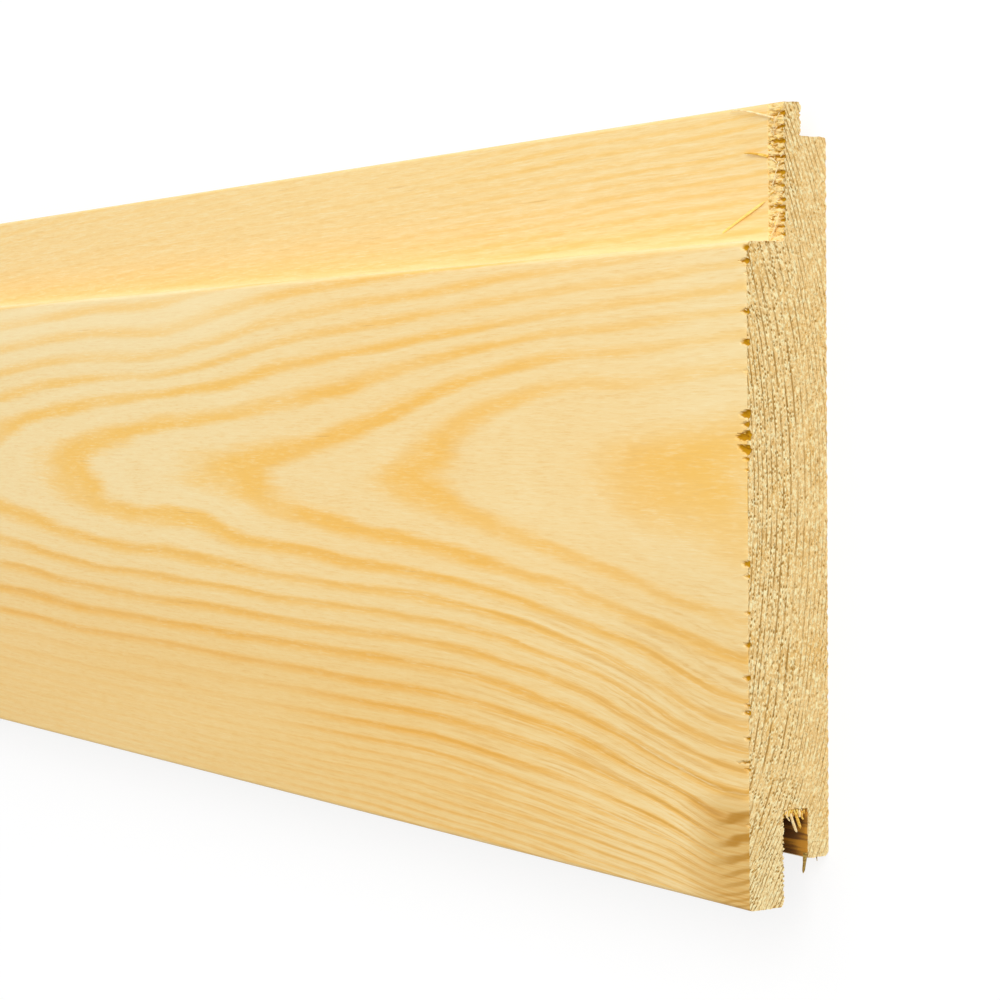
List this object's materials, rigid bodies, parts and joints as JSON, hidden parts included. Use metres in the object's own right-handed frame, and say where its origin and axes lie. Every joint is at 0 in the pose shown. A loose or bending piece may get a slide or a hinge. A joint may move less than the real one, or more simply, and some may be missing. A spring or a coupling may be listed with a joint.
{
  "type": "shadow gap cladding board",
  "caption": "Planed softwood cladding board with a deep front rebate and tongue on one edge and a groove behind a longer front lip on the other.",
  "frame": {"origin": "centre of the length and of the overall width, on the back face that the board lies on", "axes": "+X along the board, +Y across the face towards the tongue, +Z out of the planed front face"},
  "size_m": [1.8, 0.145, 0.018],
  "materials": {
    "planed_softwood": "planed, unfinished redwood with sawn ends"
  },
  "bodies": {
    "root": {"cladding_board": "planed_softwood"}
  },
  "joints": []
}
